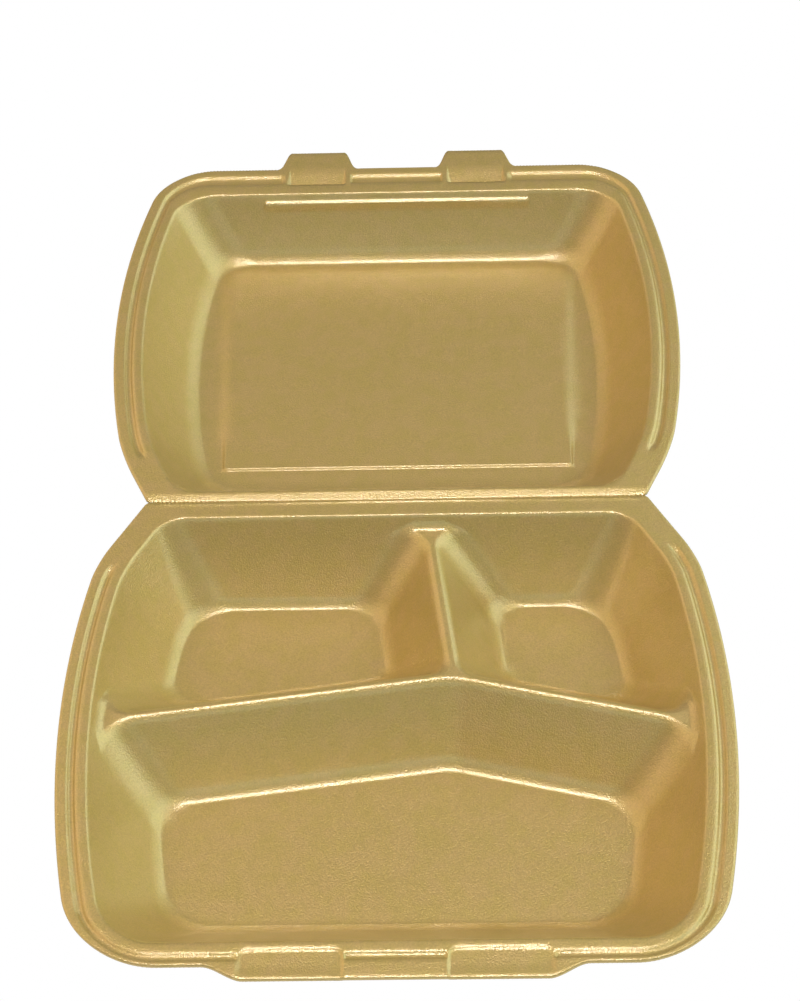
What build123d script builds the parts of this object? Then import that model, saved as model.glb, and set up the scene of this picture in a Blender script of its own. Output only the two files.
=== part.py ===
from build123d import *
from collections import namedtuple
import math
import os

# A hinged meal box of foamed polystyrene: a tray with three compartments and a
# lid, formed as one sheet that folds along the crease between them. Millimetres,
# +Z up, the tray's rim towards -Y of the crease and the open lid towards +Y.

# Plan of the box
reach = 199.0            # crease to front edge of the tray, and to far edge of the lid
half_width = 120.0       # widest half width of either rim
fold_inset = 22.0        # each end of the fold lies this far in from the widest part
tray_flare = 31.0        # crease to where the tray's flared shoulder meets its bowed side
tray_widest = 93.0       # crease to the widest part of the tray
tray_bow = 345.0         # radius of the tray's bowed sides
lid_flare = 25.0
lid_widest = 103.0
lid_bow = 325.0
tray_rim_corner = 25.0   # corners away from the crease, outer edge
lid_rim_corner = 21.0

# Sheet
wall = 2.2               # foam sheet at floors and sloping walls
lip = 1.8                # sheet pressed thinner along the rims
edge_round = 0.5         # softened outer arris of the rims

# Tray
tray_depth = 33.0        # rim plane to upper face of the floors
tray_side_rim = 11.0     # rim width at the two sides
tray_front_rim = 8.4
tray_crease_rim = 8.9
tray_side_floor = 31.0   # outer edge to floor edge, measured in plan
tray_front_floor = 30.0
tray_crease_floor = 27.5
tray_mouth = (tray_side_rim, tray_crease_rim, tray_front_rim)
tray_mouth_corner = 15.0 # corner radii in plan
tray_floor_corner = 15.0

# Lid
lid_depth = 28.0
lid_side_rim = 12.0
lid_far_rim = 17.5
lid_crease_rim = 4.8
lid_side_floor = 30.5
lid_far_floor = 32.5
lid_crease_floor = 26.0
lid_mouth = (lid_side_rim, lid_crease_rim, lid_far_rim)
lid_mouth_corner = 16.0
lid_floor_corner = 10.0

# Soft corners beside the crease, shared by both mouths and floors
crease_corner = 12.0
flare_round = 25.0
floor_round = 6.0
lid_under_bevel = 3.6    # same bend on the lid's outside
mouth_round = 0.9        # bevel where the rim turns down into the walls

# Dividers of the tray
divider_drop = 5.0       # crest below the rim plane
divider_crest = 3.2      # width of the crest of the bent divider
cross_crest = 4.0        # width of the crest of the short divider
divider_slope = 34.0     # degrees from upright, both faces
apex_x = 20.3            # where the bent divider turns, on its front edge
apex_reach = 83.6        # crease to that point
left_sweep = 7.9         # degrees that each leg runs forward
right_sweep = 13.8
cross_lean = 6.7         # degrees that the short divider leans in plan
cross_shift = 1.1        # its middle line passes this far right of the bend
pocket_round = 9.0       # upright corners of the compartments beside the dividers
crest_bevel = 0.7        # broken edge along each crest

# Groove and bead round the rims
groove_width = 2.9
groove_depth = 1.2
groove_batter = 0.7      # inward lean of each groove wall, in plan
bead_width = 4.0
lid_far_bead = 6.9       # bead beside the lid's far edge
groove_start = 30.0      # crease to the ends of the groove

# Thumb tongue and landing pads of the tray's front rim
tongue_half = 51.0
tongue_reach = 5.0
tongue_flare = 9.0       # length of each S-shaped shoulder
pad_offset = 33.8        # middle of the box to the middle of each pad
pad_width = 33.6
pad_sink = 0.6

# Locking tabs of the lid
tab_tip_half = 13.2
tab_root_half = 16.8
tab_reach = 11.4
tab_tip_round = 2.4
tab_root_round = 3.0
tab_offset = 36.4
ramp_half = 12.7         # slanted seat across the groove at the foot of each tab
ramp_fall = 2.8          # how far the seat falls towards the bead

# Lid panel and latch ledge
panel_near_half = 73.0
panel_far_half = 79.0
panel_near = 39.5        # crease to the near edge of the raised panel
panel_far_gap = 5.0      # panel to the far edge of the lid floor
panel_rise = 0.8
ledge_half = 60.6
ledge_drop = 2.5         # rim plane to the top of the ledge
ledge_out = 1.0          # how far it stands out of the far wall
ledge_fall = 1.0
ledge_foot = 7.0         # rim plane to where it runs out

# Fold
fold_gap = 0.3           # free space between the two mouldings, open and closed
lid_open_angle = 178.0   # degrees from closed, as it lies open
crease_bevel = 3.6       # sloping strip of the lid's crease edge
crease_bevel_fall = 1.1
crease_ridge = 1.7       # low ridge along the tray's crease edge
crease_ridge_rise = 0.45
crease_end = 4.0         # ridge stops this far short of each end of the fold
fold_corner = 2.0        # rounding of the outline at the ends of the fold

Rim = namedtuple("Rim", "toward flare widest bow")
tray_rim = Rim(-1, tray_flare, tray_widest, tray_bow)
lid_rim = Rim(1, lid_flare, lid_widest, lid_bow)


def side_x(rim, along, side=0.0):
    """Half width of a rim's bowed side, set in, at a distance from the crease."""
    rise = (rim.bow - side) ** 2 - (along - rim.widest) ** 2
    return half_width - rim.bow + math.sqrt(rise)


def corners(rim, side, near, far):
    """Sharp corners of one half of a rim's plan: at the crease, at the bend, at the far end."""
    fold_half = half_width - fold_inset
    lean = math.atan2(side_x(rim, rim.flare) - fold_half, rim.flare)
    start_x = fold_half - side * math.cos(lean)
    start_along = side * math.sin(lean)
    bend = max(near + 1, rim.flare)
    for turn in range(12):
        gap = side_x(rim, bend, side) - start_x - (bend - start_along) * math.tan(lean)
        bend = bend + gap / math.tan(lean)
    near_x = start_x + (near - start_along) * math.tan(lean)
    far_along = reach - far
    return [(near_x, near), (side_x(rim, bend, side), bend), (side_x(rim, far_along, side), far_along)]


def fitted(radius, before, here, after):
    """A corner's radius, or the largest whose arc leaves half of both its edges."""
    turn = abs(math.atan2(after[1] - here[1], after[0] - here[0])
               - math.atan2(here[1] - before[1], here[0] - before[0])) / 2
    room = min(math.dist(before, here), math.dist(here, after)) / 2
    return min(radius, room / math.tan(turn))


def outline(rim, side, near, far, near_round, far_round):
    """Rounded plan shape, each of its edges set in from the rim's outer edge."""
    near_at, bend, far_at = corners(rim, side, near, far)
    middle = (near_at[1] + far_at[1]) / 2
    belly = (side_x(rim, middle, side), middle)
    edges = []
    for hand in (-1, 1):
        places = [(hand * x, rim.toward * along) for x, along in (near_at, bend, belly, far_at)]
        edges.append(Line(places[0], places[1]))
        edges.append(ThreePointArc(*places[1:]))
    for x, along in (near_at, far_at):
        edges.append(Line((-x, rim.toward * along), (x, rim.toward * along)))
    face = make_face(edges)
    rounds = [(far_at, fitted(far_round, belly, far_at, (0, far_at[1]))),
              (bend, fitted(flare_round, near_at, bend, belly)),
              (near_at, fitted(near_round, (0, near_at[1]), near_at, bend))]
    for (x, along), radius in rounds:
        for hand in (-1, 1):
            spot = Vertex(hand * x, rim.toward * along, 0)
            face = fillet(face.vertices().sort_by_distance(spot)[0], radius)
    return face


def basin(rim, mouth, floor, depth, mouth_corner, floor_corner, grow=0.0):
    """Sloping-sided basin below the rim plane; grow gives its outer skin."""
    slope = (floor[0] - mouth[0]) / depth
    top_grow = grow * math.hypot(1, slope)
    low_grow = top_grow - grow * slope
    low = depth + grow
    top = outline(rim, mouth[0] - top_grow, mouth[1] - top_grow, mouth[2] - top_grow,
                  crease_corner + top_grow, mouth_corner + top_grow)
    foot = outline(rim, floor[0] - low_grow, floor[1] - low_grow, floor[2] - low_grow,
                   crease_corner + low_grow, floor_corner + low_grow)
    return loft([top, Pos(0, 0, -low) * foot], ruled=True)


def ridge(angle, front, back, drop, start):
    """Sloping-faced bar through the bend of the dividers, turned about Z.

    front and back are the edges of its crest, which lies at -drop.
    """
    long = 2 * half_width
    fall = tray_depth + wall - drop
    spread = fall * math.tan(math.radians(divider_slope))
    section = Polyline((-front, -drop), (back, -drop), (back + spread, -drop - fall),
                       (-front - spread, -drop - fall), close=True)
    bar = extrude(make_face(Plane.YZ * section), amount=long - start, dir=(1, 0, 0))
    return Pos(apex_x, -apex_reach, 0) * Rot(0, 0, angle) * Pos(start, 0, 0) * bar


def dividers(shrink=0.0, lower=0.0):
    """Bent divider with the short one joined to its back; shrink and lower give the hollow."""
    long = 2 * half_width
    slope = math.tan(math.radians(divider_slope))
    take = shrink * math.hypot(1, slope) - lower * slope
    drop = divider_drop + lower
    back = divider_crest - take
    left = ridge(left_sweep, -take, back, drop, -long)
    right = ridge(-right_sweep, -take, back, drop, -long)
    behind_left = ridge(left_sweep, long, back, drop, -long)
    behind_right = ridge(-right_sweep, long, back, drop, -long)
    bent = (left + right) & behind_left & behind_right
    half = cross_crest / 2 - take
    short = ridge(90 + cross_lean, half, half, drop, divider_crest / 3)
    return bent + Pos(cross_shift, 0, 0) * short


def spans(edge, low, high):
    """True for an edge that runs from exactly one level to another."""
    box = edge.bounding_box()
    return abs(box.min.Z - low) < 0.01 and abs(box.max.Z - high) < 0.01


def on_wall(edge):
    """True for an edge of the crest that runs along the wall of the tray."""
    middle = edge @ 0.5
    slope = (tray_side_floor - tray_side_rim) / tray_depth
    away = tray_side_rim + slope * divider_drop
    near_away = tray_crease_rim + slope * divider_drop
    return abs(middle.X) > side_x(tray_rim, -middle.Y, away) - slope or -middle.Y < near_away + slope


def tray_block(grow=0.0, lower=0.0):
    """The three compartments as one solid block, or with grow their outer skin."""
    block = basin(tray_rim, tray_mouth, (tray_side_floor, tray_crease_floor, tray_front_floor),
                  tray_depth, tray_mouth_corner, tray_floor_corner, grow)
    block -= dividers(grow, lower)
    crest = -divider_drop - lower
    floor = -tray_depth - grow
    upright = [edge for edge in block.edges() if spans(edge, floor, crest)]
    block = fillet(upright, pocket_round + grow)
    foot = [edge for edge in block.edges() if spans(edge, floor, floor)]
    block = fillet(foot, floor_round + grow)
    if grow > 0:
        return block
    brink = [edge for edge in block.edges() if spans(edge, crest, crest) and not on_wall(edge)]
    return chamfer(brink, crest_bevel)


def solid_between(top, low, depth):
    """Sloping-sided slab from a plan shape at the rim plane to another one below it."""
    return loft([top, Pos(0, 0, -depth) * low], ruled=True)


def groove_ring(rim, widths, grow, depth):
    """Ring between the lip and the bead; grow widens it for the fold of sheet beneath."""
    side, near, far, bead_far = widths
    start = groove_batter
    bead = (bead_width, bead_width, bead_far)
    rings = []
    for inset, away in ((bead[0] + groove_width + grow, start), (bead[0] - grow, -start)):
        extra = inset - bead[0]
        top = outline(rim, side - inset, near - inset, far - bead[2] - extra,
                      crease_corner + inset, tray_mouth_corner + inset)
        low = outline(rim, side - inset + away, near - inset + away, far - bead[2] - extra + away,
                      crease_corner + inset - away, tray_mouth_corner + inset - away)
        rings.append(solid_between(top, low, depth))
    return rings[0] - rings[1]


def slab(x_low, x_high, along_low, along_high, toward, z_low, z_high):
    """Upright box given by its plan limits on one side of the crease."""
    size_y = along_high - along_low
    box = Box(x_high - x_low, size_y, z_high - z_low)
    middle_y = toward * (along_low + along_high) / 2
    return Pos((x_low + x_high) / 2, middle_y, (z_low + z_high) / 2) * box


def bar_x(points, half, middle=0.0):
    """Prism along X with a section given as (along, height) points."""
    section = make_face(Plane.YZ * Polyline(*points, close=True))
    return Pos(middle - half, 0, 0) * extrude(section, amount=2 * half, dir=(1, 0, 0))


def groove_zone(rim, gaps):
    """Space that the groove keeps to: clear of the crease and of the pads or tabs."""
    zone = slab(-2 * half_width, 2 * half_width, groove_start, 2 * reach, rim.toward, -reach, reach)
    for middle, half in gaps:
        zone -= slab(middle - half, middle + half, reach / 2, 2 * reach, rim.toward, -reach, reach)
    return zone


def grooved(shell, rim, widths, gaps):
    """Press the groove into a rim, the sheet folding down beneath it."""
    zone = groove_zone(rim, gaps)
    shell += groove_ring(rim, widths, lip, groove_depth + lip) & zone
    return shell - (groove_ring(rim, widths, 0.0, groove_depth) & zone)


def brow(rim, mouth, mouth_corner):
    """Bevel where the rim turns down into the walls."""
    top = [width - mouth_round for width in mouth]
    wide = outline(rim, *top, crease_corner, mouth_corner)
    tight = outline(rim, *mouth, crease_corner, mouth_corner)
    return loft([wide, Pos(0, 0, -mouth_round) * tight], ruled=True)


def rim_plate(plan):
    """Lip-thick plate with its upper outer edge bevelled."""
    plate = extrude(plan, amount=lip, dir=(0, 0, -1))
    top = plate.faces().filter_by(Axis.Z).sort_by(Axis.Z)[-1]
    return chamfer(top.outer_wire().edges(), edge_round)


def tongue_plan():
    """Thumb tongue of the front rim, with S-shaped shoulders of two tangent arcs."""
    root = tongue_half + tongue_flare
    front = -reach - tongue_reach
    back = -reach + edge_round
    middle = ((tongue_half + root) / 2, -reach - tongue_reach / 2)
    edges = [Line((-tongue_half, front), (tongue_half, front)), Line((-root, back), (root, back))]
    for hand in (-1, 1):
        foot, halfway, tip = ((hand * x, y) for x, y in ((root, -reach), middle, (tongue_half, front)))
        edges.append(Line((hand * root, back), foot))
        edges.append(TangentArc(foot, halfway, tangent=(-hand, 0)))
        edges.append(TangentArc(tip, halfway, tangent=(hand, 0)))
    return make_face(edges)


def make_tray():
    """Tray with its rim, tongue, pads and crease ridge."""
    plan = outline(tray_rim, 0.0, fold_gap / 2, 0.0, fold_corner, tray_rim_corner)
    plate = rim_plate(plan + tongue_plan())
    hollow_lower = 2 * wall
    tray = plate + tray_block(wall, hollow_lower) - tray_block() - brow(tray_rim, tray_mouth, tray_mouth_corner)
    pads = [(side * pad_offset, pad_width / 2) for side in (-1, 1)]
    widths = (tray_side_rim, tray_crease_rim, tray_front_rim, bead_width)
    tray = grooved(tray, tray_rim, widths, pads)
    for middle, half in pads:
        tray -= slab(middle - half, middle + half, reach - tray_front_rim - mouth_round,
                     reach + tongue_reach / 2, -1, -pad_sink, lip)
    low = fold_gap / 2
    ridge_points = [(-low, -lip / 2), (-low, crease_ridge_rise - edge_round / 2),
                    (-low - edge_round, crease_ridge_rise), (-low - crease_ridge + edge_round, crease_ridge_rise),
                    (-low - crease_ridge, 0), (-low - crease_ridge, -lip / 2)]
    return tray + bar_x(ridge_points, half_width - fold_inset - crease_end)


def tab_plan(plan):
    """Add the two locking tabs to the lid's rim outline."""
    root_along = reach - edge_round
    tip = reach + tab_reach
    for side in (-1, 1):
        middle = side * tab_offset
        points = [(middle - tab_root_half, root_along), (middle - tab_tip_half, tip),
                  (middle + tab_tip_half, tip), (middle + tab_root_half, root_along)]
        plan += make_face(Polyline(*points, close=True))
    for side in (-1, 1):
        for end in (-1, 1):
            for half, along, radius in ((tab_root_half, reach, tab_root_round), (tab_tip_half, tip, tab_tip_round)):
                spot = Vertex(side * tab_offset + end * half, along, 0)
                plan = fillet(plan.vertices().sort_by_distance(spot)[0], radius)
    return plan


def make_lid():
    """Lid in its own rim plane, its hollow facing up as when it lies open."""
    plan = outline(lid_rim, 0.0, fold_gap / 2, 0.0, fold_corner, lid_rim_corner)
    plate = rim_plate(tab_plan(plan))
    floor = (lid_side_floor, lid_crease_floor, lid_far_floor)
    skins = []
    for grow in (wall, 0.0):
        block = basin(lid_rim, lid_mouth, floor, lid_depth, lid_mouth_corner, lid_floor_corner, grow)
        low = -lid_depth - grow
        foot = [edge for edge in block.edges() if spans(edge, low, low)]
        block = chamfer(foot, lid_under_bevel) if grow > 0 else fillet(foot, floor_round)
        far = reach - lid_far_floor - panel_far_gap
        plan = make_face(Polyline((-panel_near_half, panel_near), (panel_near_half, panel_near),
                                  (panel_far_half, far), (-panel_far_half, far), close=True))
        skins.append(block - extrude(Pos(0, 0, low) * plan, amount=panel_rise, taper=45))
    outer, inner = skins
    wall_lean = (lid_far_floor - lid_far_rim) / lid_depth
    wall_at = reach - lid_far_rim
    edge_z = -ledge_drop - ledge_fall
    ledge = [(wall_at - wall_lean * ledge_drop, -ledge_drop),
             (wall_at + wall_lean * edge_z - ledge_out, edge_z),
             (wall_at - wall_lean * ledge_foot, -ledge_foot), (wall_at, -ledge_foot), (wall_at, -ledge_drop)]
    lid = plate + outer - (inner - bar_x(ledge, ledge_half)) - brow(lid_rim, lid_mouth, lid_mouth_corner)
    tabs = [(side * tab_offset, ramp_half + groove_width) for side in (-1, 1)]
    widths = (lid_side_rim, lid_crease_rim, lid_far_rim, lid_far_bead)
    lid = grooved(lid, lid_rim, widths, tabs)
    ramp_low = reach - lid_far_rim + lid_far_bead
    ramp_high = ramp_low + 2 * groove_width + lip * 2
    for side in (-1, 1):
        under = [(ramp_high, -lip), (ramp_low, -lip - ramp_fall), (ramp_low - lip, -lip - ramp_fall), (ramp_low - lip, -lip)]
        lid += bar_x(under, ramp_half + lip, side * tab_offset)
        seat = [(ramp_high, 0), (ramp_low, -ramp_fall), (ramp_low, lip), (ramp_high, lip)]
        lid -= bar_x(seat, ramp_half, side * tab_offset)
    bevel = [(0, lip), (0, -crease_bevel_fall), (fold_gap / 2, -crease_bevel_fall),
             (fold_gap / 2 + crease_bevel, 0), (fold_gap / 2 + crease_bevel, lip)]
    return lid - bar_x(bevel, half_width)


def main():
    tray = make_tray()
    lid = make_lid()
    fold_axis = Pos(0, 0, fold_gap / 2)
    lid = fold_axis * Rot(180 - lid_open_angle, 0, 0) * fold_axis.inverse() * lid
    around = (tray + lid).bounding_box()
    place = Pos(0, -around.center().Y, -around.min.Z)
    os.makedirs("parts", exist_ok=True)
    for node, solid in (("tray", tray), ("lid", lid)):
        placed = place * solid
        placed.label = node
        export_step(placed, "parts/" + node + ".step")
    print("fold axis at", (place * fold_axis).position)


main()
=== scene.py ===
import math

import bpy
import numpy as np
from mathutils import Matrix, Vector
from mathutils.geometry import delaunay_2d_cdt
from mathutils.kdtree import KDTree


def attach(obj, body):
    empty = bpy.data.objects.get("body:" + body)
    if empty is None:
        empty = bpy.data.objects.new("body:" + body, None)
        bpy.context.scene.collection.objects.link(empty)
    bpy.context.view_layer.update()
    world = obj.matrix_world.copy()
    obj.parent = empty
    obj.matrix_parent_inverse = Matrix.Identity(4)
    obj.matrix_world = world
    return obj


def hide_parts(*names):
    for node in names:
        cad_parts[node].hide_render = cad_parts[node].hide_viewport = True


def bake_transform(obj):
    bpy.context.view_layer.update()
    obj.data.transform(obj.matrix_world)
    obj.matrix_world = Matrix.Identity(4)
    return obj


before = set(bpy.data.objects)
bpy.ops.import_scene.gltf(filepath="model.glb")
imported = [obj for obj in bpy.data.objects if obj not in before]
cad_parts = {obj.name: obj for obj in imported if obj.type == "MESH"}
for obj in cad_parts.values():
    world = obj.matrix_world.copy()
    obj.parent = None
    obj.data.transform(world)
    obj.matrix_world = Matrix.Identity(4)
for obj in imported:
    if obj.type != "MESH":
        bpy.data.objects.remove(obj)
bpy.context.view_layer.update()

MM = 0.001

# Sizes are in millimetres. In each half, x runs across, along runs from the fold to the
# free edge, and heights are taken from the rim's upper face.
REACH, HALF_WIDTH = 199.0, 120.0  # length of a half, and half its greatest width
FOLD_HALF, FOLD_GAP = 98.0, 0.15  # half the fold's length, and what each half keeps from its axis
LIP, WALL = 1.8, 2.2  # the sheet's thickness along the rims, and at walls and floors
FOLD_Y, RIM_Z = -3.17, 35.2  # place of the fold, and of the tray's rim
OPEN_TILT = math.radians(2)  # the open lid's rise towards its free edge

# Dividers: wedges cut level at their crests, with the short one leaning on the bent one
CREST, CREST_WIDTH, CROSS_HALF = -5.0, 3.2, 2.0
WEDGE = 1.4826  # fall of their faces for each millimetre out
APEX_X, APEX_REACH = 20.3, 83.6  # where the bent divider bends
CROSS_SHIFT = 1.1  # how far right of the bend the short divider meets it
LEFT_SWEEP, RIGHT_SWEEP, CROSS_LEAN = (math.radians(a) for a in (7.9, 13.8, 6.7))

# Thumb tongue of the tray with its two landing pads, and the ridge along the fold
TONGUE_REACH, TONGUE_SIDE = 5.0, (49.0, 62.5)
PAD_AT, PAD_HALF, PAD_START, PAD_SINK, PAD_CORNER = 33.8, 16.8, 193.5, 0.6, 3.0
RIDGE_HALF = 94.0
RIDGE_ALONG = (0, 0.2, 0.8, 1.5, 1.8, 2.5, 3.4)
RIDGE_HEIGHT = (-1.0, -0.9, -0.5, 0.42, 0.45, 0.12, 0)

# Locking tabs of the lid with the slanted seats at their feet, and the bevel along the fold
TAB_AT, TAB_HALF, TAB_REACH, TAB_FLANK, TAB_CORNER, TAB_FOOT = 36.4, 16.8, 11.4, 3.6, 3.0, 4.0
RAMP_HALF, RAMP_LOW, RAMP_HIGH, RAMP_FALL = 12.7, 188.4, 197.8, 2.8
BEVEL_DEPTH, BEVEL_END, BEVEL_RUN = 1.1, 3.75, 3.6

# Latch ledge on the lid's far wall, and the panel raised from its floor
AWAY = -200  # a height below everything
LEDGE_HALF, LEDGE_END, LEDGE_DROP = 60.6, 62, 8
LEDGE_ALONG = (160, 177.75, 178.6, 180.2, 182)
LEDGE_HEIGHT = (AWAY, -7, -3.5, -2.6, -2.5)
PANEL_NEAR, PANEL_FAR, PANEL_HALF, PANEL_SPREAD = 39.5, 161.5, 73.0, 6.0
PANEL_RISE, PANEL_SOFT = 0.8, 0.7

# Radii of the soft bends where forms meet
SHOULDER_BEND, FOLD_CORNER, APEX_BEND = 2.5, 1.5, 2.5
JUNCTION, DIVIDER_END = 9.0, 20.0  # between the dividers, and between divider and wall
CREST_BEND, DIVIDER_FOOT = 2.2, 3.5
TRAY_FLOOR_BEND, LID_FLOOR_BEND, UNDER_FLOOR_BEND = 4.2, 5.5, 4.4
MOUTH_BEND, LEDGE_BEND, SEAT_BEND = 1.0, 0.6, 0.25
CORNER_GROWTH = 0.2  # what a corner beside the fold gains in radius down the wall
DRAW_IN = 0.03  # how far walls bend in between rim and floor, as a share of the depth

# Plan points
GRID_STEP, ROW_STEP, PANEL_STEP = 3.4, 1.6, 2.7  # spacing on floors, dividers and panel edges
DEEPEST = -38  # a divider's face lower than this is hidden by the floor
MIDDLE, RAY = 100, 240.0  # where rays start, along a half, and their greatest length
FREE_END, LATCH_END = 185, 180  # past these, a point belongs to the free edge or to its rim
HALVINGS = 34  # steps of the search along each ray

SENSOR = 36  # width of the camera's sensor
FLOOR_Z = -0.0004  # in metres, just clear of the tray's foot
WEB_SINK, WEB_BLEND = 1.45, 0.2  # depth of the fold's web below the rim, half its hinging width
CELL, CLOUD, PEEL = 0.6, 7.0, 0.2  # the foam's cells, its cloudy patches, depth of the orange peel
SKIN = ("#c4ac66", "#c9ad71")  # the two golds of those patches

# Each half: end of its flared shoulder, widest place, radius of its bowed side, corner radii
# (those of the walls as shares of the depth), insets of mouth and floor from the outline at
# side, fold and free edge, depth, bend at the floor, and where the groove starts, right and
# left.
TRAY = dict(flare=31.0, widest=93.0, bow=345.0,
            rim_corner=25.0, mouth_corner=0.73, near_corner=0.36,
            mouth=(11.0, 8.9, 8.4), floor=(31.0, 27.5, 30.0), depth=33.0,
            floor_bend=TRAY_FLOOR_BEND, groove_start=(27.0, 33.0))
LID = dict(flare=25.0, widest=103.0, bow=325.0,
           rim_corner=21.0, mouth_corner=0.85, near_corner=0.36,
           mouth=(12.0, 4.8, 17.5), floor=(30.5, 26.0, 32.5), depth=28.0,
           floor_bend=LID_FLOOR_BEND, groove_start=(24.0, 24.0))

# Rings of a rim from its outer edge inwards: insets at side, fold and free edge, height of
# the upper face, depth of the groove there, and share of the tongue's or the tabs' reach.
TRAY["rings"] = [
    (0.00, 0.00, 0.00, -0.60, 0.00, 1.00), (0.16, 0.16, 0.16, -0.17, 0.00, 1.00),
    (0.55, 0.40, 0.50, 0.00, 0.00, 1.00), (1.20, 0.70, 0.75, 0.00, 0.00, 0.80),
    (1.90, 1.00, 0.90, 0.00, 0.00, 0.60), (2.60, 1.30, 1.05, 0.00, 0.00, 0.40),
    (3.30, 1.60, 1.20, 0.00, 0.00, 0.20), (3.80, 1.90, 1.35, 0.00, 0.00, 0.00),
    (4.20, 2.20, 1.65, 0.00, -0.30, 0.00), (4.60, 2.60, 2.00, 0.00, -0.95, 0.00),
    (5.10, 3.00, 2.50, 0.00, -1.20, 0.00), (6.00, 3.50, 3.20, 0.00, -1.20, 0.00),
    (6.40, 4.00, 3.70, 0.00, -0.95, 0.00), (6.80, 4.60, 4.10, 0.00, -0.30, 0.00),
    (7.20, 5.20, 4.55, 0.02, 0.00, 0.00), (7.80, 5.70, 5.15, 0.10, 0.00, 0.00),
    (8.40, 6.20, 5.60, 0.14, 0.00, 0.00), (9.00, 6.80, 6.20, 0.12, 0.00, 0.00),
    (9.70, 7.40, 7.00, 0.03, 0.00, 0.00)]
LID["rings"] = [
    (0.00, 0.00, 0.00, -0.60, 0.00, 1.00), (0.16, 0.12, 0.16, -0.17, 0.00, 1.00),
    (0.55, 0.25, 0.50, 0.00, 0.00, 1.00), (1.20, 0.45, 0.90, 0.00, 0.00, 0.84),
    (2.00, 0.70, 1.40, 0.00, 0.00, 0.66), (2.80, 0.95, 1.90, 0.00, 0.00, 0.48),
    (3.40, 1.20, 2.50, 0.00, 0.00, 0.30), (3.90, 1.45, 3.20, 0.00, 0.00, 0.14),
    (4.40, 1.70, 3.90, 0.00, 0.00, 0.00), (4.80, 1.95, 4.80, 0.00, -0.30, 0.00),
    (5.20, 2.20, 5.70, 0.00, -0.95, 0.00), (5.70, 2.50, 6.60, 0.00, -1.20, 0.00),
    (6.80, 2.75, 8.60, 0.00, -1.20, 0.00), (7.30, 3.00, 9.60, 0.00, -0.95, 0.00),
    (7.70, 3.25, 10.40, 0.00, -0.30, 0.00), (8.10, 3.50, 10.90, 0.02, 0.00, 0.00),
    (8.90, 3.75, 12.60, 0.14, 0.00, 0.00), (9.90, 4.00, 14.60, 0.14, 0.00, 0.00),
    (10.90, 4.25, 16.30, 0.03, 0.00, 0.00)]
# Rings down the walls, as shares of the way from mouth to floor
WALL_RINGS = (-0.03, -0.015, 0, 0.015, 0.03, 0.05, 0.07, 0.09, 0.11, 0.14, 0.17, 0.20, 0.23,
              0.27, 0.34, 0.41, 0.48, 0.55, 0.62, 0.69, 0.76, 0.82, 0.87, 0.91, 0.95, 0.99,
              1.03, 1.07, 1.12, 1.18)


def soft_min(a, b, radius):
    """Lesser of two fields, with a rounded bend where they cross."""
    arc = (a + b) / 2 - radius + np.sqrt(np.maximum(2 * radius ** 2 - (a - b) ** 2, 0)) / 2
    return np.where(np.abs(a - b) < radius, arc, np.minimum(a, b))


def soft_max(a, b, radius):
    """Greater of two fields, with a rounded bend where they cross."""
    return -soft_min(-a, -b, radius)


def step(value, low, high):
    """0 below low, 1 above high, with a smooth rise between."""
    share = np.clip((value - low) / (high - low), 0, 1)
    return share * share * (3 - 2 * share)


def band(value, low, high, soft):
    """1 between low and high, falling to 0 over a soft width on both sides."""
    return step(value, low - soft, low + soft) * (1 - step(value, high - soft, high + soft))


def side_inset(half, x, along):
    """Distance in from a rim's bowed side and its flared shoulder."""
    rise = math.sqrt(half["bow"] ** 2 - (half["flare"] - half["widest"]) ** 2)
    lean = math.atan2(HALF_WIDTH - half["bow"] + rise - FOLD_HALF, half["flare"])
    arc = half["bow"] - np.hypot(np.abs(x) - (HALF_WIDTH - half["bow"]), along - half["widest"])
    shoulder = (FOLD_HALF - np.abs(x)) * math.cos(lean) + along * math.sin(lean)
    return soft_min(arc, shoulder, SHOULDER_BEND)


def rim_field(half, x, along, insets):
    """Zero on the plan line set in from side, fold and free edge by the insets."""
    side, near, far = insets
    in_from_side = side_inset(half, x, along) - side
    field = soft_min(in_from_side, REACH - along - far, half["rim_corner"] - side)
    return soft_min(field, along - FOLD_GAP - near, FOLD_CORNER)


def wall_field(half, x, along):
    """0 where the wall leaves the rim, 1 at the edge of the floor."""
    spans = [f - m for f, m in zip(half["floor"], half["mouth"])]
    side = (side_inset(half, x, along) - half["mouth"][0]) / spans[0]
    near = (along - half["mouth"][1]) / spans[1]
    far = (REACH - along - half["mouth"][2]) / spans[2]
    deeper = CORNER_GROWTH * np.clip(np.minimum(side, near), 0, 1)
    beyond = soft_min(side, far, half["mouth_corner"])
    return soft_min(beyond, near, half["near_corner"] + deeper)


def wall_height(half, x, along):
    """Height of the upper face of the walls, drawn in a little between rim and floor."""
    down = wall_field(half, x, along)
    return -half["depth"] * (down + DRAW_IN * np.sin(np.pi * np.clip(down, 0, 1)))


def far_reach(half, x):
    """How far the thumb tongue or a locking tab stands out past the free edge."""
    if half is TRAY:
        return TONGUE_REACH * (1 - step(np.abs(x), *TONGUE_SIDE))
    flank = (TAB_HALF - np.abs(np.abs(x) - TAB_AT)) * TAB_REACH / TAB_FLANK
    return soft_max(soft_min(flank, TAB_REACH + 0 * flank, TAB_CORNER), 0 * flank, TAB_FOOT)


def bent_crest(x):
    """Distance from the fold to the front edge of the bent divider's crest."""
    left = APEX_REACH - (x - APEX_X) * math.tan(LEFT_SWEEP)
    return np.where(x < APEX_X, left, APEX_REACH + (x - APEX_X) * math.tan(RIGHT_SWEEP))


def cross_middle(along):
    """x of the short divider's middle line."""
    return APEX_X + CROSS_SHIFT - math.tan(CROSS_LEAN) * (APEX_REACH - along)


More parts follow.
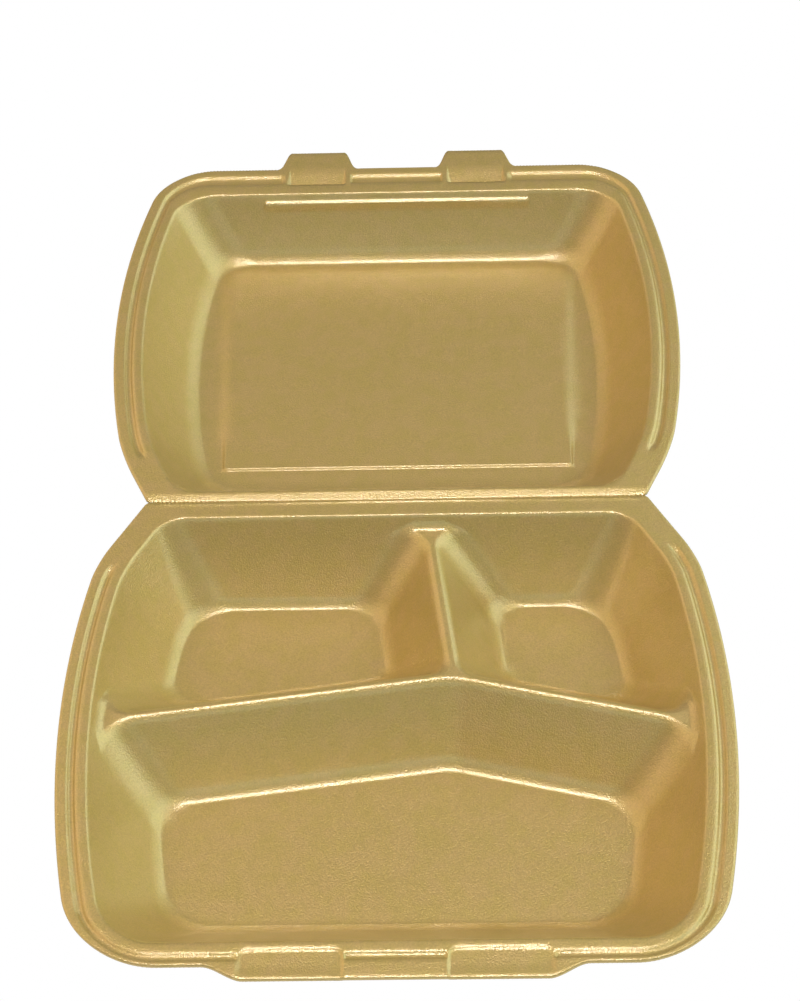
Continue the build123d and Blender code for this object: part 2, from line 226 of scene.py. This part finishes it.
def wedges(x, along):
    """Heights of the bent divider's front and back faces, and of the short divider.

    Each goes on past its crest, where tray_inside cuts it level.
    """
    def across(sweep):
        return -(x - APEX_X) * math.sin(sweep) - (along - APEX_REACH) * math.cos(sweep)
    left, right = across(LEFT_SWEEP), across(-RIGHT_SWEEP)
    front = soft_max(CREST + WEDGE * left, CREST + WEDGE * right, APEX_BEND)
    back = soft_min(CREST - WEDGE * (left - CREST_WIDTH), CREST - WEDGE * (right - CREST_WIDTH),
                    APEX_BEND)
    aside = np.abs(x - cross_middle(along)) * math.cos(CROSS_LEAN)
    return front, back, CREST + WEDGE * (CROSS_HALF - aside)


def wall_drop(half):
    """How far under a wall's upper face its under face lies, straight down."""
    run = half["floor"][0] - half["mouth"][0]
    return math.hypot(1, half["depth"] / run) * WALL


def level_floor(half, height, under, rise=0.0):
    """Cut a basin off at the floor, with the radius that floor and walls share."""
    floor = -half["depth"] - (WALL if under else 0) + rise + 0 * height
    return soft_max(height, floor, UNDER_FLOOR_BEND if under else half["floor_bend"])


def tray_inside(x, along, under):
    """Upper or under face of the tray inside its rim."""
    wedge_drop, crest_drop = (math.hypot(1, WEDGE) * WALL, 2 * WALL) if under else (0, 0)
    wall = wall_height(TRAY, x, along) - (wall_drop(TRAY) if under else 0)
    front, back, cross = wedges(x, along)
    dividers = np.minimum(soft_max(back, cross, JUNCTION), front) - wedge_drop
    raised = soft_max(dividers, wall, DIVIDER_END)
    capped = soft_min(raised, CREST - crest_drop + 0 * wall, CREST_BEND)
    foot = DIVIDER_FOOT * step(raised - wall, 0, 3.0) + 0.001  # no bend where there is no divider
    return level_floor(TRAY, soft_max(capped, wall, foot), under)


def panel_half(along):
    """Half the width of the raised panel, which spreads towards the free edge."""
    return PANEL_HALF + PANEL_SPREAD * (along - PANEL_NEAR) / (PANEL_FAR - PANEL_NEAR)


def lid_inside(x, along, under):
    """Upper or under face of the lid inside its rim, in the lid's own plane."""
    wall = wall_height(LID, x, along) - (wall_drop(LID) if under else 0)
    if not under:
        ledge = np.where(np.abs(x) < LEDGE_END, np.interp(along, LEDGE_ALONG, LEDGE_HEIGHT), AWAY)
        ledge = ledge - LEDGE_DROP * (1 - band(x, -LEDGE_HALF, LEDGE_HALF, 0.6))
        wall = soft_max(wall, ledge, LEDGE_BEND)
    # the panel's edges are crisp near the fold, soft at the sides and softest at the far end
    half_panel = panel_half(along)
    soft = PANEL_SOFT + 2.5 * step(along, PANEL_NEAR, PANEL_NEAR + 40)
    panel = 1 - step(np.abs(x), half_panel - soft, half_panel + soft)
    panel = panel * step(along, PANEL_NEAR - PANEL_SOFT, PANEL_NEAR + PANEL_SOFT)
    panel = panel * (1 - step(along, PANEL_FAR - 6, PANEL_FAR + 2))
    return level_floor(LID, wall, under, PANEL_RISE * panel)


def groove_share(half, x, along):
    """1 where the groove runs round the rim, 0 near the fold and across pads and seats."""
    start = np.where(x > 0, *half["groove_start"])
    share = step(along, start - 2.0, start + 4.0)
    if half is TRAY:  # shallower beside the thumb tongue
        share = share * (1 - 0.5 * step(along, 180, 192))
    middle, gap = (PAD_AT, PAD_HALF + 0.6) if half is TRAY else (TAB_AT, RAMP_HALF + 2.9)
    stop = 1 - step(np.abs(np.abs(x) - middle), gap - 0.5, gap + 0.5)
    return share * (1 - stop * (along > LATCH_END))


def rim_shape(half, x, along):
    """What stands up or sinks in the rim's upper face."""
    if half is TRAY:
        ridge = np.interp(along, RIDGE_ALONG, RIDGE_HEIGHT) * band(x, -RIDGE_HALF, RIDGE_HALF, 1.5)
        beside = np.abs(np.abs(x) - PAD_AT) - PAD_HALF + PAD_CORNER
        before = PAD_START + PAD_CORNER - along
        outside = np.hypot(np.maximum(beside, 0), np.maximum(before, 0)) - PAD_CORNER
        shallow = 1 - 0.6 * step(along, REACH, REACH + TONGUE_REACH)
        return ridge - PAD_SINK * (1 - step(outside, -0.7, 0.7)) * shallow
    bevel = -BEVEL_DEPTH * np.clip((BEVEL_END - along) / BEVEL_RUN, 0, 1)
    seat = band(np.abs(x), TAB_AT - RAMP_HALF, TAB_AT + RAMP_HALF, 0.4)
    seat = seat * step(along, RAMP_LOW - 0.4, RAMP_LOW + 0.1)
    fall = -RAMP_FALL * (RAMP_HIGH - along) / (RAMP_HIGH - RAMP_LOW)
    return bevel + soft_min(fall, 0 * x, SEAT_BEND) * seat


def march(field, angles, count):
    """Points where plan fields are zero, along rays from the middle of a half."""
    low, high = np.zeros((count, len(angles))), np.full((count, len(angles)), RAY)
    for _ in range(HALVINGS):
        middle = (low + high) / 2
        inside = field(middle * np.sin(angles), MIDDLE + middle * np.cos(angles)) > 0
        low, high = np.where(inside, middle, low), np.where(inside, high, middle)
    return low * np.sin(angles), MIDDLE + low * np.cos(angles)


def ray_angles(half):
    """Ray directions, closer together where an edge runs across the rim.

    gap is the spacing along the outline, laid off on a much finer set of rays.
    """
    angles = np.linspace(0, 2 * np.pi, 14400, endpoint=False)
    x, along = march(lambda u, v: rim_field(half, u, v, (0, 0, 0)), angles, 1)
    x, along = x[0], along[0]
    far = along > FREE_END
    gap = np.where(far, 1.5, 1.7)
    if half is TRAY:
        gap[(np.abs(x) > 90) & (np.abs(along - 102) < 9)] = 0.7  # ends of the bent divider
        gap[(np.abs(x - 13) < 14) & (along < 20)] = 0.8  # end of the short divider
        edges, steep = (PAD_AT - PAD_HALF, PAD_AT + PAD_HALF), (48, 63)
    else:
        edges, steep = (TAB_AT - RAMP_HALF, TAB_AT + RAMP_HALF, TAB_AT - 15, TAB_AT + 15), (0, 0)
    for edge in edges:
        gap[far & (np.abs(np.abs(x) - edge) < 2.2)] = 0.5
        gap[far & (np.abs(np.abs(x) - edge) < 1.0)] = 0.28
    gap[far & (np.abs(x) > steep[0]) & (np.abs(x) < steep[1])] = 0.9
    run = np.hypot(np.roll(x, -1) - x, np.roll(along, -1) - along) / gap
    total = np.concatenate([[0], np.cumsum(run)])
    count = int(total[-1])
    return np.interp(np.arange(count) * total[-1] / count, total, np.append(angles, 2 * np.pi))


def thin_out(points, kept, least):
    """Points that keep a least distance from points already taken."""
    tree = KDTree(len(kept))
    for number, (x, along) in enumerate(kept):
        tree.insert((x, along, 0), number)
    tree.balance()
    return np.array([p for p in points if tree.find((p[0], p[1], 0))[2] > least])


def divider_rows():
    """Plan points of the rows that run along the bent divider and along the short one."""
    slope = np.concatenate([np.arange(5.2, 18, 1.8), np.arange(18.6, 26, 1.1)])
    front_edge = [-1.7, -1.2, -0.8, -0.4, 0, 0.4, 0.8, 1.2]
    back_edge = [2.0, 2.4, 2.8, 3.2, 3.6, 4.0, 4.4]
    bent_rows = np.concatenate([-slope[::-1] + 2.2, front_edge, back_edge, slope + 1.2])
    x, row = np.meshgrid(np.arange(-109.0, 109.5, ROW_STEP), bent_rows)
    lean = np.where(x < APEX_X, math.cos(LEFT_SWEEP), math.cos(RIGHT_SWEEP))
    bent = np.stack([x.ravel(), (bent_crest(x) - row / lean).ravel()], 1)
    side = np.concatenate([[0.6, 1.1, 1.5, 1.8, 2.2, 2.6, 3.1, 4.0], slope + 0.5])
    cross_rows = np.concatenate([-side[::-1], [0], side])
    along, row = np.meshgrid(np.arange(6.0, 92.0, ROW_STEP), cross_rows)
    x = cross_middle(along) + row / math.cos(CROSS_LEAN)
    return bent, np.stack([x.ravel(), along.ravel()], 1)


def divider_points():
    """Points on the dividers, kept only where the divider itself is the upper face."""
    kept = []
    for points, is_bent, margin in zip(divider_rows(), (True, False), (-0.5, 0.3)):
        front, back, short = wedges(*points.T)
        own, other = (back, short) if is_bent else (short, back)
        wall = -TRAY["depth"] * wall_field(TRAY, *points.T)
        height = np.minimum(front, own)
        on_top = height > np.minimum(front, other) + margin
        clear = (height > np.maximum(wall - 1.5, DEEPEST)) & (wall < 1)
        kept.append(points[on_top & clear])
    bent, cross = kept
    return np.concatenate([bent, thin_out(cross, bent, 0.5)])


def panel_points():
    """Rows along the four edges of the lid's raised panel."""
    rows = np.array([-1.3, -0.8, -0.4, 0, 0.4, 0.8, 1.3])
    x, row = np.meshgrid(np.arange(-81.0, 82, PANEL_STEP), rows)
    near, far = [np.stack([x.ravel(), line + row.ravel()], 1) for line in (PANEL_NEAR, PANEL_FAR)]
    along, row = np.meshgrid(np.arange(38.0, 164, PANEL_STEP), rows)
    side = panel_half(along) + row
    left, right = [np.stack([(way * side).ravel(), along.ravel()], 1) for way in (-1, 1)]
    return np.concatenate([near, thin_out(far, near, 0.6), left, right])


def inside_loop(points, loop):
    """Which plan points lie inside a closed line."""
    inside = np.zeros(len(points), bool)
    for (x, along), (next_x, next_along) in zip(loop, np.roll(loop, -1, axis=0)):
        if along != next_along:
            level = (along > points[:, 1]) != (next_along > points[:, 1])
            cut = x + (points[:, 1] - along) * (next_x - x) / (next_along - along)
            inside ^= level & (points[:, 0] < cut)
    return inside


def sheet_plan(half):
    """Plan points of one half with the ring heights they carry, and its triangles."""
    angles = ray_angles(half)
    table = np.array(half["rings"])
    insets = table[:, :3].T[:, :, None]
    x, along = march(lambda u, v: rim_field(half, u, v, insets), angles, len(table))
    along = along + np.where(along > FREE_END, far_reach(half, x) * table[:, 5, None], 0)
    rim = np.stack([x.ravel(), along.ravel()], 1)
    share = np.array(WALL_RINGS)[:, None]
    x, along = march(lambda u, v: wall_field(half, u, v) - share, angles, len(WALL_RINGS))
    wall = np.stack([x.ravel(), along.ravel()], 1)
    if half is TRAY:  # the dividers' own rows stand in for the rings that they cover
        lines = divider_points()
        low = -half["depth"] * wall_field(half, *wall.T)
        front, back, short = wedges(*wall.T)
        covered = np.minimum(front, np.maximum(back, short))
        wall = wall[covered < np.maximum(low, -half["depth"]) + 0.8]
    else:
        lines = panel_points()
        lines = lines[wall_field(half, *lines.T) > 1.2]
    wall = thin_out(wall, lines, 0.5)
    grid = np.meshgrid(np.arange(-96, 97, GRID_STEP), np.arange(20, 180, GRID_STEP))
    grid = np.stack(grid, 2).reshape(-1, 2)
    grid = grid[wall_field(half, *grid.T) > 1.22]
    grid = thin_out(grid, np.concatenate([wall, lines]), 1.8)
    points = np.concatenate([rim, wall, lines, grid])
    carried = np.zeros((len(points), 2))
    carried[:len(rim)] = np.repeat(table[:, 3:5], len(angles), axis=0)
    edge = [(i, (i + 1) % len(angles)) for i in range(len(angles))]
    made = delaunay_2d_cdt([Vector(p) for p in points], edge, [], 0, 1e-5, True)
    plan, triangles = np.array([list(v) for v in made[0]]), np.array([list(f) for f in made[2]])
    # the triangulation fills the hull of the outline, between the tabs too
    triangles = triangles[inside_loop(plan[triangles].mean(axis=1), rim[:len(angles)])]
    return plan, carried[[ids[0] for ids in made[3]]], triangles.tolist()


def true_normals(half, x, along, under):
    """Normals of the pressed faces inside the rim, from the slopes of the form itself.

    A zero normal leaves the rim to the mesh's own smooth shading.
    """
    inside, reach = tray_inside if half is TRAY else lid_inside, 0.12
    across = (inside(x + reach, along, under) - inside(x - reach, along, under)) / (2 * reach)
    down = (inside(x, along + reach, under) - inside(x, along - reach, under)) / (2 * reach)
    turn, way = (OPEN_TILT, 1) if half is LID else (0.0, -1)  # the tray runs towards -Y
    out, up = -way * down, np.ones(len(x))
    normals = np.stack([-across, out * math.cos(turn) - up * math.sin(turn),
                        out * math.sin(turn) + up * math.cos(turn)], 1) * (-1 if under else 1)
    normals /= np.linalg.norm(normals, axis=1)[:, None]
    normals[wall_field(half, x, along) < (0.02 if under else 0.06)] = 0
    return normals


def placed(half, x, along, up):
    """Points of one half in the shared frame, in millimetres."""
    if half is TRAY:
        return np.stack([x, FOLD_Y - along, RIM_Z + up], 1)
    lift, sine, cosine = up - FOLD_GAP, math.sin(OPEN_TILT), math.cos(OPEN_TILT)
    return np.stack([x, FOLD_Y + along * cosine - lift * sine,
                     RIM_Z + FOLD_GAP + along * sine + lift * cosine], 1)


def link_new(name, data):
    """New object in the scene, at the origin."""
    piece = bpy.data.objects.new(name, data)
    bpy.context.scene.collection.objects.link(piece)
    return piece


def press(half, name):
    """Mould one half: the same plan lifted to the upper and to the under face."""
    plan, carried, triangles = sheet_plan(half)
    x, along = plan.T
    edge, groove = carried.T
    edge = edge * np.where(along < 1.0, 0.4, 1.0)  # the rounded edge fades along the fold
    share = groove_share(half, x, along)
    groove = groove * share
    shape = rim_shape(half, x, along)
    inside = tray_inside if half is TRAY else lid_inside
    crown = np.where(edge > 0, edge * share, edge)
    top = soft_min(crown + groove + shape, inside(x, along, False), MOUTH_BEND)
    flat = -LIP - np.minimum(edge, 0) + groove + np.where(along < 6, 0.0, shape)
    below = soft_min(flat, inside(x, along, True), MOUTH_BEND)
    places = np.concatenate([placed(half, x, along, up) for up in (top, below)])
    count = len(plan)
    if half is TRAY:
        triangles = [face[::-1] for face in triangles]
    used = {(a, b) for face in triangles for a, b in zip(face, face[1:] + face[:1])}
    outer_edge = [(b, a, a + count, b + count) for a, b in used if (b, a) not in used]
    under_face = [[v + count for v in face[::-1]] for face in triangles]
    faces = triangles + under_face + sorted(outer_edge)
    mesh = bpy.data.meshes.new(name)
    mesh.from_pydata((places * MM).tolist(), [], faces)
    mesh.shade_smooth()
    normals = [true_normals(half, x, along, under) for under in (False, True)]
    mesh.normals_split_custom_set_from_vertices(np.concatenate(normals).tolist())
    return link_new(name, mesh)


def linear(hex_colour):
    """sRGB hex to the linear colour that a shader socket takes."""
    parts = [int(hex_colour[i:i + 2], 16) / 255 for i in (1, 3, 5)]
    return [c / 12.92 if c <= 0.04045 else ((c + 0.055) / 1.055) ** 2.4 for c in parts] + [1.0]


def add_node(tree, kind, links=(), **settings):
    """Add one node, set its fields and inputs, and link its inputs by name or number."""
    node = tree.nodes.new(kind)
    for key, value in settings.items():
        if hasattr(node, key):
            setattr(node, key, value)
        else:
            node.inputs[key.replace("_", " ")].default_value = value
    for socket, source in links:
        tree.links.new(source, node.inputs[socket])
    return node


def foam():
    """Foamed polystyrene sheet, extruded, gold pigment in its skin, then thermoformed.

    The cells under the skin give a fine orange peel, which breaks the satin light into
    speckle. The pearly pigment makes the light it reflects as gold as its body colour, and
    the glazed skin over it adds a paler, tighter shine along every bend.
    """
    material = bpy.data.materials.new("thermoformed_gold_foam")
    material.use_nodes = True
    tree = material.node_tree
    shader = tree.nodes["Principled BSDF"]
    place = add_node(tree, "ShaderNodeTexCoord").outputs["Object"]
    cells = add_node(tree, "ShaderNodeTexNoise", Scale=1 / (CELL * MM), Detail=2.0, Roughness=0.6,
                     links=[("Vector", place)])
    cloud = add_node(tree, "ShaderNodeTexNoise", Scale=1 / (CLOUD * MM), Detail=3.0, Roughness=0.55,
                     links=[("Vector", place)])
    body = add_node(tree, "ShaderNodeValToRGB", links=[("Fac", cloud.outputs["Fac"])])
    ramp = body.color_ramp
    ramp.elements[0].position, ramp.elements[0].color = 0.36, linear(SKIN[0])
    ramp.elements[1].position, ramp.elements[1].color = 0.64, linear(SKIN[1])
    speckle = add_node(tree, "ShaderNodeMapRange", From_Min=0.3, From_Max=0.7,
                       To_Min=0.88, To_Max=1.12, links=[("Value", cells.outputs["Fac"])])
    tint = add_node(tree, "ShaderNodeVectorMath", operation="SCALE",
                    links=[(0, body.outputs["Color"]), ("Scale", speckle.outputs["Result"])])
    tree.links.new(tint.outputs["Vector"], shader.inputs["Base Color"])
    # the skin fills half of the dimples, so its shine is smoother than the body's
    for socket, depth in (("Normal", PEEL), ("Coat Normal", PEEL / 2)):
        peel = add_node(tree, "ShaderNodeBump", Strength=1.0, Distance=depth * MM,
                        links=[("Height", cells.outputs["Fac"])])
        tree.links.new(peel.outputs["Normal"], shader.inputs[socket])
    finish = {"Metallic": 0.42, "Roughness": 0.3, "IOR": 1.59,  # polystyrene with pigment
              "Coat Weight": 1.0, "Coat IOR": 1.85, "Coat Roughness": 0.2}  # its glazed skin
    for socket, value in finish.items():
        shader.inputs[socket].default_value = value
    return material


def fold_web(material):
    """Thin pressed strip that joins the halves, swept along the fold by a node tree."""
    tree = bpy.data.node_groups.new("strip along the fold", "GeometryNodeTree")
    tree.interface.new_socket("Geometry", in_out="OUTPUT", socket_type="NodeSocketGeometry")
    sizes = {"Length": 192.8 * MM, "Width": LIP * MM, "Thickness": 0.35 * MM}
    for name in sizes:
        tree.interface.new_socket(name, in_out="INPUT", socket_type="NodeSocketFloat")
    given = tree.nodes.new("NodeGroupInput").outputs
    ends = []
    for name, share in (("Start", -0.5), ("End", 0.5)):
        reach = add_node(tree, "ShaderNodeMath", operation="MULTIPLY", links=[(0, given["Length"])])
        reach.inputs[1].default_value = share
        end = add_node(tree, "ShaderNodeCombineXYZ", links=[("X", reach.outputs[0])])
        ends.append((name, end.outputs[0]))
    line = add_node(tree, "GeometryNodeCurvePrimitiveLine", links=ends)
    dense = add_node(tree, "GeometryNodeResampleCurve", Count=97,
                     links=[("Curve", line.outputs[0])])
    section = add_node(tree, "GeometryNodeCurvePrimitiveQuadrilateral",
                       links=[("Width", given["Width"]), ("Height", given["Thickness"])])
    swept = add_node(tree, "GeometryNodeCurveToMesh",
                     links=[("Curve", dense.outputs[0]), ("Profile Curve", section.outputs[0])])
    swept.inputs["Fill Caps"].default_value = True
    real = add_node(tree, "GeometryNodeRealizeInstances", links=[(0, swept.outputs[0])])
    dressed = add_node(tree, "GeometryNodeSetMaterial", links=[("Geometry", real.outputs[0])])
    dressed.inputs["Material"].default_value = material
    add_node(tree, "NodeGroupOutput", links=[(0, dressed.outputs[0])])
    maker = link_new("strip maker", bpy.data.meshes.new("strip maker"))
    modifier = maker.modifiers.new("strip", "NODES")
    modifier.node_group = tree
    for item in tree.interface.items_tree:
        if item.in_out == "INPUT":
            modifier[item.identifier] = sizes[item.name]
    graph = bpy.context.evaluated_depsgraph_get()
    mesh = bpy.data.meshes.new_from_object(maker.evaluated_get(graph))
    bpy.data.objects.remove(maker)
    mesh.name = "fold_web"
    mesh.transform(Matrix.Translation(Vector((0, FOLD_Y, RIM_Z - WEB_SINK)) * MM))
    web = link_new("fold_web", mesh)
    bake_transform(web)


def aim_camera():
    """Camera fitted to the outlines of both halves in the photograph."""
    focal_px, height_px = 1805.77, 1001
    elevation, yaw, roll = math.radians(48.297), math.radians(1.39976), math.radians(-1.90012)
    place = Vector((12.875 + 0.141, -471.496 + FOLD_Y, 528.669 + RIM_Z)) * MM
    turn = Matrix.Rotation(yaw, 3, "Z")
    forward = turn @ Vector((0, math.cos(elevation), -math.sin(elevation)))
    up = turn @ Vector((0, math.sin(elevation), math.cos(elevation)))
    right = turn @ Vector((1, 0, 0))
    right, up = (math.cos(roll) * right + math.sin(roll) * up,
                 math.cos(roll) * up - math.sin(roll) * right)
    data = bpy.data.cameras.new("camera")
    data.sensor_width = SENSOR
    data.lens = focal_px * SENSOR / height_px
    data.shift_y = -1.55 / height_px
    data.clip_start = 0.01
    camera = link_new("camera", data)
    axes = Matrix((right, up, -forward)).transposed().to_4x4()
    camera.matrix_world = Matrix.Translation(place) @ axes
    bpy.context.scene.camera = camera


def softbox(name, place, size, power, hue):
    """Rectangular lamp aimed at the origin, in metres and watts."""
    data = bpy.data.lights.new(name, "AREA")
    data.shape = "RECTANGLE"
    data.size, data.size_y = size
    data.energy = power
    data.color = linear(hue)[:3]
    lamp = link_new(name, data)
    lamp.location = place
    lamp.rotation_euler = (-Vector(place)).to_track_quat("-Z", "Y").to_euler()


def build_studio():
    """Plain white sweep and soft lamps; the camera sees floor and world as white."""
    scene = bpy.context.scene
    scene.view_settings.view_transform = "Standard"
    world = bpy.data.worlds.new("studio")
    scene.world = world
    world.use_nodes = True
    tree = world.node_tree
    tree.nodes.clear()
    rays = add_node(tree, "ShaderNodeLightPath").outputs
    seen = add_node(tree, "ShaderNodeMath", operation="MAXIMUM",
                    links=[(0, rays["Is Camera Ray"]), (1, rays["Is Transmission Ray"])])
    ambient = add_node(tree, "ShaderNodeBackground", Color=(0.95, 1, 0.95, 1), Strength=0.17)
    white = add_node(tree, "ShaderNodeBackground", Color=(1, 1, 1, 1), Strength=1.0)
    mix = add_node(tree, "ShaderNodeMixShader",
                   links=[(0, seen.outputs[0]), (1, ambient.outputs[0]), (2, white.outputs[0])])
    add_node(tree, "ShaderNodeOutputWorld", links=[(0, mix.outputs[0])])
    bpy.ops.mesh.primitive_plane_add(size=6, location=(0, 0, FLOOR_Z))
    floor = bpy.context.object
    floor.name = "floor"
    material = bpy.data.materials.new("white_sweep")
    material.use_nodes = True
    tree = material.node_tree
    tree.nodes.clear()
    rays = add_node(tree, "ShaderNodeLightPath").outputs
    diffuse = add_node(tree, "ShaderNodeBsdfDiffuse", Color=(0.9, 0.9, 0.9, 1))
    glow = add_node(tree, "ShaderNodeEmission", Color=(1, 1, 1, 1), Strength=1.0)
    mix = add_node(tree, "ShaderNodeMixShader",
                   links=[(0, rays["Is Camera Ray"]), (1, diffuse.outputs[0]),
                          (2, glow.outputs[0])])
    add_node(tree, "ShaderNodeOutputMaterial", links=[(0, mix.outputs[0])])
    floor.data.materials.append(material)
    softbox("ceiling", (0, 0.4, 1.8), (2.4, 2.4), 3.3, "#ffe0b4")
    softbox("overhead", (0, -0.42, 2.0), (0.45, 0.45), 16, "#fff6e8")
    softbox("right", (1.7, 0.35, 1.2), (3.2, 2.2), 31, "#f0ffdc")
    softbox("left", (-1.7, 0.35, 1.2), (3.2, 2.2), 21, "#ffd99c")
    softbox("front", (0, -1.5, 0.8), (1.4, 0.6), 2.2, "#efffdc")


gold = foam()
tray_sheet = press(TRAY, "tray_sheet")
lid_sheet = press(LID, "lid_sheet")
for sheet, body in ((tray_sheet, "tray"), (lid_sheet, "lid")):
    sheet.data.materials.append(gold)
    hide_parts(body)
    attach(sheet, body)
fold_web(gold)
aim_camera()
build_studio()
